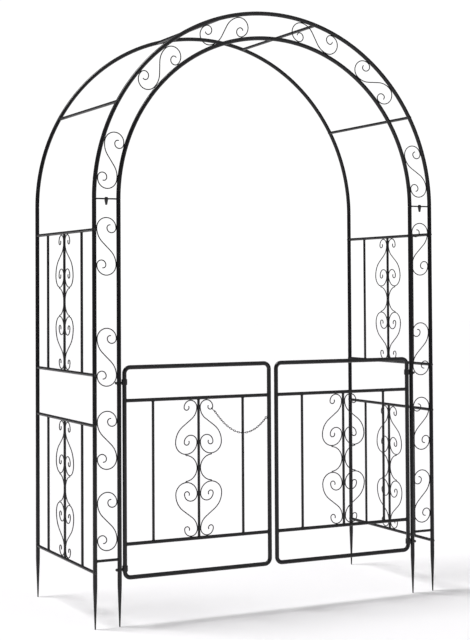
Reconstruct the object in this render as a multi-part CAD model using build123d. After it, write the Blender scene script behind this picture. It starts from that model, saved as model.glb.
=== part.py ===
from build123d import *
import os
from math import asin, atan2, cos, degrees, hypot, pi, radians, sin, sqrt

# Garden trellis arch with a pair of swing gates, in millimetres.
# X runs across the walkway, +Y runs from the gates towards the back, +Z is up.
# The origin is on the ground plane, below the middle of the arch.

# ---- Overall sizes ----
arch_half_width = 728.0     # middle of the walkway to the axis of an outer post
post_spacing = 95.0         # axis of an outer post to the axis of the inner post beside it
arch_depth = 625.0          # axis of a front post to the axis of a rear post
joint_height = 1550.0       # where the curved tubes plug into the posts, and the centre of the curves
weld_gap = 0.05             # hairline left between pieces that are welded together
cut_overrun = 1.0           # how far a cutter runs past what it cuts, in mm or in degrees

# ---- Tubes ----
tube_radius = 8.0           # posts, arches and gate loops
rail_radius = 6.0           # side panel rails and the bars that join the arches
gate_rail_radius = 6.5
bar_radius = 5.0
tube_wall = 1.0
foot_bar_height = 243.0

# ---- Plugged joints between tubes, and ground spikes ----
plug_clearance = 0.15
plug_wall = 1.0
plug_length = 40.0
plug_step = 3.0
spike_height = 150.0
spike_tip_radius = 2.5

# ---- Straps that bolt the arch to the ladders ----
strap_thickness = 2.5
strap_width = 14.0
bolt_radius = 3.0
bolt_hole_clearance = 0.2
bolt_head_flats = 10.0
bolt_head_height = 4.0
cone_nut_height = 20.0
cone_nut_radius = 7.0
cone_nut_tip_radius = 3.5
thread_clearance = 0.05
thread_engagement = 12.0

# ---- Scrolls ----
wire_radius = 2.0
ladder_lobe_distance = 134.5     # between the two lobe centres of one ladder scroll
ladder_shoulder_radius = 72.0    # the long easy bend from the middle of the S to its lobe
ladder_curl_radius = 17.5
ladder_tail_radius = 11.0
ladder_tail_turn = 100.0
ladder_scroll_heights = (383.0, 675.0, 975.0, 1377.0)
arch_scroll_angles = (12.0, 46.5, 73.0)   # degrees up the curve from the joint
turned_arch_scrolls = 2          # this many of the lowest on the right face the other way
panel_curl_radius = 26.0
panel_tail_radius = 10.0
panel_tail_turn = 215.0
panel_neck_radius = 53.5
panel_shoulder_radius = 74.0     # the outer, easier half of a lobe
panel_lobe_radius = 43.75
panel_tip_radius = 7.8           # the last little turn inside a curl
panel_half_waist = 55.75         # middle of a panel to the nearest lobe's wire axis
gate_half_waist = 52.25

# ---- Side panels ----
low_panel_height = 202.0         # bottom rail of the lower panel
high_panel_height = 911.0
panel_height = 526.0             # between the two rail axes of a panel
bar_offset = 185.0               # middle of a panel or gate to each plain bar

# ---- Cross bars from the front arch to the rear arch ----
shoulder_angle = 29.5
crown_angle = 74.0

# ---- Screws through the posts and arches into the rails ----
screw_radius = 2.5
screw_hole_clearance = 0.15
screw_head_radius = 5.0
screw_head_height = 3.0
screw_head_round = 1.8
screw_seat_gap = 0.02
rail_plug_length = 14.0
screw_bite = 11.0

# ---- Gates ----
gate_bottom = 174.0              # axis of the bottom tube
gate_height = 762.0              # between the bottom and top tube axes
gate_bend_radius = 22.0
gate_rail_inset = 121.0          # bottom or top tube to the inner rail beside it
hinge_gap = 5.0                  # between an inner post and the hinge stile beside it
meeting_gap = 15.0               # between the two meeting stiles
drain_hole_radius = 2.0

# ---- Hinges ----
low_hinge_height = 205.0
high_hinge_height = 880.0
eye_clearance = 0.1
eye_wall = 2.7
eye_height = 14.0
hinge_boss_radius = 4.5
hinge_nut_flats = 10.0
hinge_nut_height = 5.0
hinge_nut_cap_radius = 4.5
hinge_nut_cap_height = 3.0
hinge_nut_cap_round = 2.4
hinge_thread_length = 6.0
collar_clearance = 0.05
collar_wall = 2.6
collar_height = 6.0
collar_running_gap = 0.3

# ---- Latch chain ----
hook_wire_radius = 1.3
hook_clearance = 0.3
hook_grip_angle = -45.0          # where the hook sits on the scroll's curl
hook_length = 14.0               # the curl's wire to the middle of the hook's eye
hook_mouth_turn = 200.0
hook_eye_turn = 275.0
latch_eye_drop = 86.0            # upper gate rail down to the latch eye
latch_eye_radius = 4.2
latch_eye_wire_radius = 1.3
latch_eye_depth = 4.0            # how far its stem enters the meeting stile
latch_eye_pull_angle = 227.0     # from the middle of the latch eye towards the last link
chain_drop = 138.0               # upper gate rail down to the chain's lowest link
chain_low_shift = 1.25           # the plain bar to the chain's lowest link, towards the hinge
chain_bar_clearance = 1.0
link_wire_radius = 1.0
link_inner_width = 3.0
link_target_pitch = 9.0
link_slack = 0.3
chain_path_steps = 8

# ---- Positions that follow from the sizes ----
inner_half_width = arch_half_width - post_spacing
front_y = -arch_depth / 2
rear_y = arch_depth / 2
meeting_half_gap = tube_radius + meeting_gap / 2
hinge_x = inner_half_width - 2 * tube_radius - hinge_gap
gate_width = hinge_x - meeting_half_gap
gate_middle_x = (hinge_x + meeting_half_gap) / 2
gate_top = gate_bottom + gate_height
gate_low_rail = gate_bottom + gate_rail_inset
gate_high_rail = gate_top - gate_rail_inset
latch_eye_height = gate_high_rail - latch_eye_drop
chain_low_height = gate_high_rail - chain_drop
chain_low_x = bar_offset - gate_middle_x - chain_low_shift
plug_radius = tube_radius - tube_wall - plug_clearance
screw_hole_radius = screw_radius + screw_hole_clearance
hinge_heights = (low_hinge_height, high_hinge_height)
panel_bases = (low_panel_height, high_panel_height)
rail_heights = [base + rise for base in panel_bases for rise in (0, panel_height)]
hook_bend_radius = wire_radius + hook_wire_radius + hook_clearance
eye_bore = tube_radius + eye_clearance
eye_radius = eye_bore + eye_wall

nodes = {}


# ---- Basic shapes ----
def cylinder(start, end, radius):
    """A solid rod from one point to another."""
    base = Plane(origin=start, z_dir=Vector(end) - Vector(start))
    return extrude(base * Circle(radius), (Vector(end) - Vector(start)).length)


def tube(start, end, radius, wall=tube_wall):
    """A hollow tube from one point to another."""
    return cylinder(start, end, radius) - cylinder(start, end, radius - wall)


def hexagon(start, end, flats):
    """A hexagonal prism from one point to another."""
    base = Plane(origin=start, z_dir=Vector(end) - Vector(start))
    across_corners = flats / cos(pi / 6)
    return extrude(base * RegularPolygon(across_corners / 2, 6), (Vector(end) - Vector(start)).length)


def post_core(x, y, radius):
    """The whole length of a post as a rod, to cope another piece around."""
    return cylinder((x, y, 0), (x, y, joint_height), radius)


def arch_ring(radius, y, thickness, start=0.0, turn=180.0):
    """A solid ring of the given thickness along an arch, from the right hand joint upwards."""
    section = Plane(origin=(radius, y, joint_height)) * Circle(thickness)
    pivot = Axis((0, y, joint_height), (0, -1, 0))
    return revolve(section.rotate(pivot, start), axis=pivot, revolution_arc=turn)


def trace(start, heading, moves):
    """Edges in the XY plane. A move is (radius, degrees turned, left positive) or (None, length)."""
    x, y = start
    edges = []
    for radius, amount in moves:
        if radius is None:
            end = (x + amount * cos(radians(heading)), y + amount * sin(radians(heading)))
            edges.append(Edge.make_line((x, y), end))
        else:
            side = 1 if amount > 0 else -1
            centre_x = x - side * radius * sin(radians(heading))
            centre_y = y + side * radius * cos(radians(heading))
            first = heading - side * 90
            edges.append(CenterArc((centre_x, centre_y), radius, first, amount).edge())
            heading += amount
            last = radians(first + amount)
            end = (centre_x + radius * cos(last), centre_y + radius * sin(last))
        x, y = end
    return edges


def bent_wire(edges, radius):
    """A round wire swept along edges that follow on from one another."""
    path = Wire(edges)
    section = Plane(origin=path @ 0, z_dir=path % 0) * Circle(radius)
    return sweep(section, path=path)


def mirrored(shape):
    """The same piece on the other side of the walkway."""
    return mirror(shape, about=Plane.YZ)


def add(name, *shapes):
    """Keep the solids of one node."""
    solids = [solid for shape in shapes for solid in shape.solids()]
    nodes[name] = Compound(children=solids) if len(solids) > 1 else solids[0]


def add_pair(name, *shapes):
    """Keep a node on the right, and its mirror image on the left."""
    add("right_" + name, *shapes)
    add("left_" + name, *[mirrored(shape) for shape in shapes])


# ---- Posts, spikes and arches ----
def ground_spike(x, y):
    profile = Polyline((0, 0), (spike_tip_radius, 0), (tube_radius, spike_height),
                       (plug_radius, spike_height), (plug_radius, spike_height + plug_length),
                       (0, spike_height + plug_length), (0, 0))
    spike = revolve(Plane.XZ * make_face(profile), axis=Axis.Z)
    return Pos(x, y, 0) * spike


def post(x, y):
    return tube((x, y, spike_height), (x, y, joint_height), tube_radius)


def screw_holes(x, y, heights):
    """Clearance holes that run front to back through a post."""
    reach = 2 * tube_radius
    return [cylinder((x, y - reach, z), (x, y + reach, z), screw_hole_radius) for z in heights]


def hinge_holes(x, y):
    """Clearance holes that run across the walkway through an inner post."""
    reach = 2 * tube_radius
    hole = bolt_radius + eye_clearance
    return [cylinder((x - reach, y, z), (x + reach, y, z), hole) for z in hinge_heights]


def arch_tube(radius, y, crown_plug):
    """A right hand quarter turn of arch, with a swaged plug below and, on one half, at the crown."""
    step_turn = degrees(plug_step / radius)
    bore = plug_radius - plug_wall
    step_radius = tube_radius - tube_wall / 2
    curve = arch_ring(radius, y, tube_radius, 0, 90)
    curve -= arch_ring(radius, y, tube_radius - tube_wall, -cut_overrun, 90 + 2 * cut_overrun)
    step = arch_ring(radius, y, step_radius, 0, step_turn)
    step -= arch_ring(radius, y, bore, -cut_overrun, step_turn + 2 * cut_overrun)
    plug = tube((radius, y, joint_height - plug_length), (radius, y, joint_height), plug_radius, plug_wall)
    shape = curve + step + plug
    if crown_plug:
        plug_turn = degrees(plug_length / radius)
        crown = arch_ring(radius, y, plug_radius, 90 - step_turn, plug_turn + step_turn)
        crown_step = arch_ring(radius, y, step_radius, 90 - step_turn, step_turn)
        crown_cut = arch_ring(radius, y, bore, 90 - step_turn - cut_overrun,
                              plug_turn + step_turn + 2 * cut_overrun)
        shape += crown + crown_step - crown_cut
    return shape


def on_arch(radius, angle):
    """X and Z of a point on an arch, measured up from the right hand joint."""
    return radius * cos(radians(angle)), joint_height + radius * sin(radians(angle))


def cross_bar_holes(y):
    """Clearance holes for the cross bar screws through an outer or rear arch."""
    reach = 2 * tube_radius
    holes = []
    for angle in (shoulder_angle, crown_angle):
        x, z = on_arch(arch_half_width, angle)
        holes.append(cylinder((x, y - reach, z), (x, y + reach, z), screw_hole_radius))
    return holes


def build_frame():
    outer_x, inner_x = arch_half_width, inner_half_width
    outer = post(outer_x, front_y)
    rear = post(outer_x, rear_y)
    inner = post(inner_x, front_y)
    for hole in screw_holes(outer_x, front_y, rail_heights):
        outer -= hole
    for hole in screw_holes(outer_x, rear_y, rail_heights):
        rear -= hole
    for hole in hinge_holes(inner_x, front_y):
        inner -= hole
    add_pair("front_outer_post", outer)
    add_pair("front_inner_post", inner)
    add_pair("rear_post", rear)
    front_spikes = [ground_spike(side * x, front_y) for side in (-1, 1) for x in (outer_x, inner_x)]
    add("front_ground_spikes", *front_spikes)
    add("rear_ground_spikes", *[ground_spike(side * outer_x, rear_y) for side in (-1, 1)])
    arches = (("front_outer_arch", outer_x, front_y), ("front_inner_arch", inner_x, front_y),
              ("rear_arch", outer_x, rear_y))
    for name, radius, y in arches:
        right = arch_tube(radius, y, True)
        left = mirrored(arch_tube(radius, y, False))
        if radius == outer_x:
            for hole in cross_bar_holes(y):
                right -= hole
                left -= mirrored(hole)
        add("right_" + name, right)
        add("left_" + name, left)


# ---- Ladders between the outer and inner front posts ----
def foot_bar():
    z = foot_bar_height
    bar = tube((inner_half_width, front_y, z), (arch_half_width, front_y, z), bar_radius)
    for x in (inner_half_width, arch_half_width):
        bar -= post_core(x, front_y, tube_radius + weld_gap)
    return bar


def ladder_scroll():
    """An S about the origin that touches a tube on both sides, its curls ending on the -X side at the top."""
    lobe_radius = post_spacing / 2 - tube_radius - wire_radius - weld_gap
    half_distance = ladder_lobe_distance / 2
    across = lobe_radius - ladder_shoulder_radius
    distance = hypot(across, half_distance)
    heading = degrees(atan2(half_distance, across)) - degrees(asin(ladder_shoulder_radius / distance))
    straight = sqrt(distance ** 2 - ladder_shoulder_radius ** 2)
    moves = [(None, straight), (ladder_shoulder_radius, 90 - heading), (lobe_radius, 180),
             (ladder_curl_radius, 180), (ladder_tail_radius, ladder_tail_turn)]
    upper = trace((0, 0), heading, moves)
    lower = trace((0, 0), heading + 180, moves)
    return bent_wire(upper + lower, wire_radius)


def build_ladders():
    scroll = ladder_scroll()
    ladder_middle = (arch_half_width + inner_half_width) / 2
    leg_scrolls = []
    for z in ladder_scroll_heights:
        place = Plane(origin=(ladder_middle, front_y, z), x_dir=(1, 0, 0), z_dir=(0, -1, 0))
        leg_scrolls.append(place * scroll)
    lobe_angle = asin(ladder_lobe_distance / 2 / ladder_middle)
    turned_scroll = mirror(scroll, about=Plane.YZ)
    arch_scrolls = []
    turned_scrolls = []
    for angle in arch_scroll_angles:
        x, z = on_arch(ladder_middle * cos(lobe_angle), angle)
        outwards = (cos(radians(angle)), 0, sin(radians(angle)))
        place = Plane(origin=(x, front_y, z), x_dir=outwards, z_dir=(0, -1, 0))
        arch_scrolls.append(place * scroll)
        turned_scrolls.append(place * turned_scroll)
    add_pair("foot_bar", foot_bar())
    add_pair("leg_scrolls", *leg_scrolls)
    right_hand = turned_scrolls[:turned_arch_scrolls] + arch_scrolls[turned_arch_scrolls:]
    add("right_arch_scrolls", *right_hand)
    add("left_arch_scrolls", *[mirrored(shape) for shape in arch_scrolls])


# ---- Straps, bolts and cone nuts that hold the arch on the ladders ----
def joint_strap(low, high):
    middle = (arch_half_width + inner_half_width) / 2
    strap = Pos(middle, front_y, (low + high) / 2) * Box(post_spacing, strap_width, high - low)
    hole = bolt_radius + bolt_hole_clearance
    strap -= cylinder((middle, front_y, low - cut_overrun), (middle, front_y, high + cut_overrun), hole)
    for x in (inner_half_width, arch_half_width):
        foot = (x, front_y, low - cut_overrun)
        strap -= cylinder(foot, (x, front_y, high + cut_overrun), tube_radius + weld_gap)
    return strap


def joint_bolt():
    x = (arch_half_width + inner_half_width) / 2
    seat = joint_height + strap_thickness
    end = joint_height - strap_thickness - thread_engagement
    head = hexagon((x, front_y, seat), (x, front_y, seat + bolt_head_height), bolt_head_flats)
    return head + cylinder((x, front_y, end), (x, front_y, seat + cut_overrun), bolt_radius)


def cone_nut():
    x = (arch_half_width + inner_half_width) / 2
    seat = joint_height - strap_thickness
    profile = Polyline((0, 0), (cone_nut_radius, 0), (cone_nut_tip_radius, -cone_nut_height),
                       (0, -cone_nut_height), (0, 0))
    nut = Pos(x, front_y, seat) * revolve(Plane.XZ * make_face(profile), axis=Axis.Z)
    bore_end = seat - thread_engagement - cut_overrun
    bore_start = (x, front_y, seat + cut_overrun)
    return nut - cylinder((x, front_y, bore_end), bore_start, bolt_radius + thread_clearance)


def build_joints():
    lower = joint_strap(joint_height - strap_thickness, joint_height)
    upper = joint_strap(joint_height, joint_height + strap_thickness)
    bolt = joint_bolt()
    nut = cone_nut()
    add("lower_joint_straps", lower, mirrored(lower))
    add("upper_joint_straps", upper, mirrored(upper))
    add("joint_bolts", bolt, mirrored(bolt))
    add("cone_nuts", nut, mirrored(nut))


# ---- Rails and cross bars that run front to back, and their screws ----
def screwed_rail(x, z):
    """A tube between the front and rear frames, closed and tapped at both ends."""
    rail = cylinder((x, front_y, z), (x, rear_y, z), rail_radius)
    closed = tube_radius + rail_plug_length
    rail -= cylinder((x, front_y + closed, z), (x, rear_y - closed, z), rail_radius - tube_wall)
    return rail - cylinder((x, front_y, z), (x, rear_y, z), screw_radius + thread_clearance)


def rail_screws(x, z):
    """The pan head screws at the front and rear ends of one rail."""
    screws = []
    for y, outwards in ((front_y, -1), (rear_y, 1)):
        seat = y + outwards * (tube_radius + screw_seat_gap)
        head_end = seat + outwards * screw_head_height
        tip = y - outwards * (tube_radius + screw_bite)
        head = cylinder((x, seat, z), (x, head_end, z), screw_head_radius)
        outer_rim = head.edges().sort_by(Axis.Y)[0 if outwards < 0 else -1]
        head = fillet(outer_rim, screw_head_round)
        screws.append(head + cylinder((x, tip, z), (x, seat + outwards, z), screw_radius))
    return screws


def panel_rail(z):
    rail = screwed_rail(arch_half_width, z)
    for y in (front_y, rear_y):
        rail -= post_core(arch_half_width, y, tube_radius + weld_gap)
    return rail


def cross_bar(angle):
    x, z = on_arch(arch_half_width, angle)
    bar = screwed_rail(x, z)
    reach = degrees(2 * rail_radius / arch_half_width) + cut_overrun
    for y in (front_y, rear_y):
        bar -= arch_ring(arch_half_width, y, tube_radius + weld_gap, angle - reach, 2 * reach)
    return bar


# ---- Scrollwork of the side panels and gates ----
def panel_scroll(edge_radius, lobe_height):
    """The S beside a centre bar. The origin is where the bar's axis meets the upper rail's axis."""
    bar_line = bar_radius + wire_radius + weld_gap
    curl_height = -(edge_radius + wire_radius + weld_gap + panel_curl_radius)
    lobe_drop = curl_height - lobe_height
    across = 2 * panel_lobe_radius - panel_shoulder_radius - panel_neck_radius
    distance = hypot(across, lobe_drop)
    reach = panel_neck_radius + panel_shoulder_radius
    heading = degrees(atan2(-lobe_drop, across)) + degrees(asin(reach / distance))
    straight = sqrt(distance ** 2 - reach ** 2)
    curl = [(panel_curl_radius, -180), (panel_tail_radius, -180),
            (panel_tip_radius, 180 - panel_tail_turn)]
    upper = trace((bar_line, curl_height), 90, curl)
    neck_and_lobe = [(panel_neck_radius, heading + 90), (None, straight),
                     (panel_shoulder_radius, -90 - heading), (panel_lobe_radius, -180)]
    lower = trace((bar_line, curl_height), -90, neck_and_lobe + curl)
    return bent_wire(upper + lower, wire_radius)


def waist_tie(half_height, half_waist):
    """The C between the upper and lower S. It touches both lobes and the centre bar."""
    bar_line = bar_radius + wire_radius + weld_gap
    rise = half_waist + panel_lobe_radius
    touch = panel_lobe_radius + 2 * wire_radius + weld_gap
    tie_radius = (rise ** 2 + panel_lobe_radius ** 2 - touch ** 2) / (2 * (panel_lobe_radius + touch))
    lobe_direction = degrees(atan2(rise, panel_lobe_radius - tie_radius))
    turn = 180 - lobe_direction
    centre = (bar_line + tie_radius, -half_height)
    arc = CenterArc(centre, tie_radius, lobe_direction, 2 * turn).edge()
    return bent_wire([arc], wire_radius)


def scrollwork(edge_radius, height, half_waist):
    """Four S scrolls and two ties about a centre bar, upright in the XY plane, below the upper rail."""
    half_height = height / 2
    middle = Plane(origin=(0, -half_height, 0), z_dir=(0, 1, 0))
    scroll = panel_scroll(edge_radius, half_waist + panel_lobe_radius - half_height)
    tie = waist_tie(half_height, half_waist)
    right_hand = [scroll, mirror(scroll, about=middle), tie]
    return right_hand + [mirrored(shape) for shape in right_hand]


def upright(x, y, low, high, edge_radius, along):
    """A bar coped onto the rails below and above it, which run along X or along Y."""
    bar = tube((x, y, low), (x, y, high), bar_radius)
    reach = Vector(*along) * 2 * bar_radius
    for z in (low, high):
        end = Vector(x, y, z)
        bar -= cylinder(end - reach, end + reach, edge_radius + weld_gap)
    return bar


def build_side_panels():
    work = scrollwork(rail_radius, panel_height, panel_half_waist)
    for name, base in (("lower", low_panel_height), ("upper", high_panel_height)):
        top = base + panel_height
        rails = [panel_rail(base), panel_rail(top)]
        bars = [upright(arch_half_width, y, base, top, rail_radius, (0, 1, 0))
                for y in (-bar_offset, 0, bar_offset)]
        place = Plane(origin=(arch_half_width, 0, top), x_dir=(0, 1, 0), z_dir=(1, 0, 0))
        add_pair(name + "_panel_rails", *rails)
        add_pair(name + "_panel_bars", *bars)
        add_pair(name + "_panel_scrollwork", *[place * shape for shape in work])


def build_cross_bars():
    add_pair("shoulder_bar", cross_bar(shoulder_angle))
    add_pair("crown_bar", cross_bar(crown_angle))
    panel_screws = [screw for z in rail_heights for screw in rail_screws(arch_half_width, z)]
    bar_screws = [screw for angle in (shoulder_angle, crown_angle)
                  for screw in rail_screws(*on_arch(arch_half_width, angle))]
    add("panel_screws", *panel_screws, *[mirrored(screw) for screw in panel_screws])
    add("cross_bar_screws", *bar_screws, *[mirrored(screw) for screw in bar_screws])


# ---- Gates: made as the right hand gate ----
def gate_loop():
    """A tube bent into a closed loop, with a drain hole below."""
    outline = RectangleRounded(gate_width, gate_height, gate_bend_radius).wire()
    middle = (gate_middle_x, front_y, gate_bottom + gate_height / 2)
    place = Plane(origin=middle, x_dir=(1, 0, 0), z_dir=(0, -1, 0))
    path = place * outline
    section = Plane(origin=path @ 0, z_dir=path % 0)
    loop = sweep(section * Circle(tube_radius), path=path)
    loop -= sweep(section * Circle(tube_radius - tube_wall), path=path)
    below = (gate_middle_x, front_y, gate_bottom - 2 * tube_radius)
    return loop - cylinder(below, (gate_middle_x, front_y, gate_bottom), drain_hole_radius)


def gate_rail(z):
    rail = tube((meeting_half_gap, front_y, z), (hinge_x, front_y, z), gate_rail_radius)
    for x in (meeting_half_gap, hinge_x):
        stile = tube_radius + weld_gap
        rail -= cylinder((x, front_y, z - 2 * tube_radius), (x, front_y, z + 2 * tube_radius), stile)
    return rail


def gate_bar(x):
    return upright(x, front_y, gate_low_rail, gate_high_rail, gate_rail_radius, (1, 0, 0))


def gate_scrollwork():
    place = Plane(origin=(gate_middle_x, front_y, gate_high_rail), x_dir=(1, 0, 0), z_dir=(0, -1, 0))
    work = scrollwork(gate_rail_radius, gate_high_rail - gate_low_rail, gate_half_waist)
    return [place * shape for shape in work]


def hinge_collar(z):
    """A ring fixed on the hinge stile, which carries the gate on the hinge eye below it."""
    low = z + eye_height / 2 + collar_running_gap
    bore = tube_radius + collar_clearance
    return tube((hinge_x, front_y, low), (hinge_x, front_y, low + collar_height),
                bore + collar_wall, collar_wall)


def hinge_eye(z):
    """An eye round the hinge stile, with a boss against the post and a threaded stem through it."""
    foot = (hinge_x, front_y, z - eye_height / 2)
    ring = cylinder(foot, (hinge_x, front_y, z + eye_height / 2), eye_radius)
    boss = cylinder((hinge_x, front_y, z), (inner_half_width, front_y, z), hinge_boss_radius)
    boss -= post_core(inner_half_width, front_y, tube_radius + weld_gap)
    stem_end = inner_half_width + tube_radius + hinge_thread_length
    stem = cylinder((hinge_x, front_y, z), (stem_end, front_y, z), bolt_radius)
    bore = cylinder((hinge_x, front_y, z - eye_height), (hinge_x, front_y, z + eye_height), eye_bore)
    return ring + boss + stem - bore


def hinge_nut(z):
    """A domed nut on the far side of the post."""
    seat = inner_half_width + tube_radius + screw_seat_gap
    flat_end = seat + hinge_nut_height
    nut = hexagon((seat, front_y, z), (flat_end, front_y, z), hinge_nut_flats)
    cap_end = flat_end + hinge_nut_cap_height
    cap = cylinder((flat_end, front_y, z), (cap_end, front_y, z), hinge_nut_cap_radius)
    cap = fillet(cap.edges().sort_by(Axis.X)[-1], hinge_nut_cap_round)
    bore_end = seat + hinge_thread_length + thread_clearance
    bore = bolt_radius + thread_clearance
    return nut + cap - cylinder((seat - cut_overrun, front_y, z), (bore_end, front_y, z), bore)


def build_gates():
    right_loop = gate_loop()
    add("right_gate_frame", right_loop)
    add("left_gate_frame", mirrored(right_loop) - latch_eye_hole())
    add_pair("gate_rails", gate_rail(gate_low_rail), gate_rail(gate_high_rail))
    add_pair("gate_bars", gate_bar(gate_middle_x - bar_offset), gate_bar(gate_middle_x + bar_offset))
    add_pair("gate_centre_bar", gate_bar(gate_middle_x))
    add_pair("gate_scrollwork", *gate_scrollwork())
    add_pair("gate_collars", *[hinge_collar(z) for z in hinge_heights])
    eyes = [hinge_eye(z) for z in hinge_heights]
    nuts = [hinge_nut(z) for z in hinge_heights]
    add("hinge_eyes", *eyes, *[mirrored(eye) for eye in eyes])
    add("hinge_nuts", *nuts, *[mirrored(nut) for nut in nuts])


# ---- Latch chain on the left gate ----
def latch_eye_centre():
    x = -(meeting_half_gap + tube_radius + latch_eye_wire_radius + latch_eye_radius)
    return x, front_y, latch_eye_height


def latch_eye_hole():
    x, y, z = latch_eye_centre()
    hole = latch_eye_wire_radius + thread_clearance
    return cylinder((x, y, z), (-meeting_half_gap, y, z), hole)


def latch_eye():
    """A ring with a stem in the meeting stile."""
    x, y, z = latch_eye_centre()
    ring = Plane(origin=(x, y, z), z_dir=(0, 1, 0)) * Torus(latch_eye_radius, latch_eye_wire_radius)
    stem_start = x + latch_eye_radius
    stem_end = -(meeting_half_gap + tube_radius) + latch_eye_depth
    return ring + cylinder((stem_start, y, z), (stem_end, y, z), latch_eye_wire_radius)


def hook_frame():
    """Origin on the scroll's curl, X outwards from the curl's centre, Y to the back."""
    curl_x = -gate_middle_x + bar_radius + wire_radius + weld_gap + 2 * panel_curl_radius - panel_tail_radius
    curl_z = gate_high_rail - (gate_rail_radius + wire_radius + weld_gap + panel_curl_radius)
    outwards = (cos(radians(hook_grip_angle)), 0, sin(radians(hook_grip_angle)))
    x = curl_x + panel_tail_radius * outwards[0]
    z = curl_z + panel_tail_radius * outwards[2]
    sideways = Vector(*outwards).cross(Vector(0, 1, 0))
    return Plane(origin=(x, front_y, z), x_dir=outwards, z_dir=sideways)


def latch_hook():
    """A hook round the scroll's curl, and the eye at its other end for the first link."""
    start = (0, hook_bend_radius)
    hook = trace(start, 180, [(hook_bend_radius, hook_mouth_turn)])
    shank = trace(start, 0, [(None, hook_length), (hook_bend_radius, -hook_eye_turn)])
    return hook_frame() * bent_wire(hook + shank, hook_wire_radius)


def chain_path():
    """The sagging line from the hook's eye to the latch eye, in front of the gate's plain bar."""
    hook_pull = hook_length + hook_bend_radius - hook_wire_radius - link_slack
    start = hook_frame().from_local_coords((hook_pull, 0, 0))
    pull = latch_eye_radius - latch_eye_wire_radius - link_slack
    eye_x, eye_y, eye_z = latch_eye_centre()
    end = Vector(eye_x + pull * cos(radians(latch_eye_pull_angle)), eye_y,
                 eye_z + pull * sin(radians(latch_eye_pull_angle)))
    bulge = bar_radius + link_inner_width / 2 + 2 * link_wire_radius + chain_bar_clearance
    points = []
    for step in range(-chain_path_steps, chain_path_steps + 1):
        tip = start if step < 0 else end
        share = abs(step) / chain_path_steps
        x = chain_low_x + (tip.X - chain_low_x) * share
        y = front_y - bulge * (1 - share ** 2)
        z = chain_low_height + (tip.Z - chain_low_height) * share ** 2
        points.append((x, y, z))
    return Edge.make_spline(points)


def chain_link(pitch):
    """One closed link, long in X and wide in Y."""
    bend = link_inner_width / 2 + link_wire_radius
    between_bends = pitch + link_slack - link_inner_width
    outline = SlotCenterToCenter(between_bends, 2 * bend).wire()
    section = Plane(origin=outline @ 0, z_dir=outline % 0) * Circle(link_wire_radius)
    return sweep(section, path=outline)


def latch_chain():
    path = chain_path()
    count = 2 * round(path.length / link_target_pitch / 2)
    link = chain_link(path.length / count)
    links = []
    for number in range(count):
        place = (number + 0.5) / count
        along = path % place
        across = along.cross(Vector(0, 1, 0)).normalized()
        facing = along.cross(across) if number % 2 == 0 else across
        links.append(Plane(origin=path @ place, x_dir=along, z_dir=facing) * link)
    return links


def build_latch():
    add("latch_eye", latch_eye())
    add("latch_hook", latch_hook())
    add("latch_chain", *latch_chain())


if __name__ == "__main__":
    build_frame()
    build_ladders()
    build_joints()
    build_side_panels()
    build_cross_bars()
    build_gates()
    build_latch()
    os.makedirs("parts", exist_ok=True)
    for node_name, node_shape in nodes.items():
        export_step(node_shape, "parts/" + node_name + ".step")
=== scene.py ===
# %% [markdown]
# # A garden arch with gates
# The arch is made of bent steel tube and thin wire scrolls, all with one black powder coat.
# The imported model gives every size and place. Here each tube, scroll and fixing is rebuilt with
# rounder walls, rolled rims and welds, because a thin tube shows every flat side of a coarse mesh.

# %% Load the frame
import bpy
from math import asin, atan2, ceil, cos, degrees, hypot, pi, radians, sin, sqrt
from mathutils import Matrix, Vector


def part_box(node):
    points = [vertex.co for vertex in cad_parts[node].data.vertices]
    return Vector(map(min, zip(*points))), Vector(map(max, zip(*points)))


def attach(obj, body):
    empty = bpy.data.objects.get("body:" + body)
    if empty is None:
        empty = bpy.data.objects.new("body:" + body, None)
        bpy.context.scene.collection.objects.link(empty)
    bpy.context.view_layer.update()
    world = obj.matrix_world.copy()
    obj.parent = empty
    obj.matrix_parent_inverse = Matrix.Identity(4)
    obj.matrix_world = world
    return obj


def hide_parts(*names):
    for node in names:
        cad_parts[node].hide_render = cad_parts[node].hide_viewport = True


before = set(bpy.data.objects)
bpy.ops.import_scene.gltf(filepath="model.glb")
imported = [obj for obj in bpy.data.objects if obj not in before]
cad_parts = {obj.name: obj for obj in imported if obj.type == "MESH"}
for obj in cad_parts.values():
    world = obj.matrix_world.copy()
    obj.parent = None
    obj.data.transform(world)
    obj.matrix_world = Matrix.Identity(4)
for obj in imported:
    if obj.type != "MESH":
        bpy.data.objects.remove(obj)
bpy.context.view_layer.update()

# %% [markdown]
# ## Sizes
# Everything is read off the frame's nodes, so a change in the CAD carries through. What a box can't
# tell, such as the radius of a curl, is named here in metres.

# %% Sizes read from the frame


def middle(node):
    """The middle of a node's box."""
    low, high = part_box(node)
    return (low + high) / 2


def span(node):
    """The size of a node's box."""
    low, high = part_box(node)
    return high - low


outer_x = middle("right_rear_post").x
inner_x = middle("right_front_inner_post").x
front_y = middle("right_front_outer_post").y
rear_y = middle("right_rear_post").y
joint_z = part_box("right_rear_post")[1].z
spike_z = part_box("right_rear_post")[0].z
tube_radius = span("right_rear_post").y / 2
rail_radius = span("right_crown_bar").x / 2
gate_rail_radius = span("right_gate_rails").y / 2
bar_radius = span("right_gate_bars").y / 2
wire_radius = span("right_gate_scrollwork").y / 2
gate_low, gate_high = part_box("right_gate_frame")
meeting_x = gate_low.x + tube_radius
hinge_x = gate_high.x - tube_radius
gate_bottom = gate_low.z + tube_radius
gate_top = gate_high.z - tube_radius
gate_rail_heights = [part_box("right_gate_rails")[0].z + gate_rail_radius,
                     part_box("right_gate_rails")[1].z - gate_rail_radius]
gate_middle_x = (meeting_x + hinge_x) / 2
bar_offset = span("right_gate_bars").x / 2 - bar_radius
ladder_x = (outer_x + inner_x) / 2
foot_bar_z = middle("right_foot_bar").z
weld_gap = 0.00005
gate_bend_radius = 0.022
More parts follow.
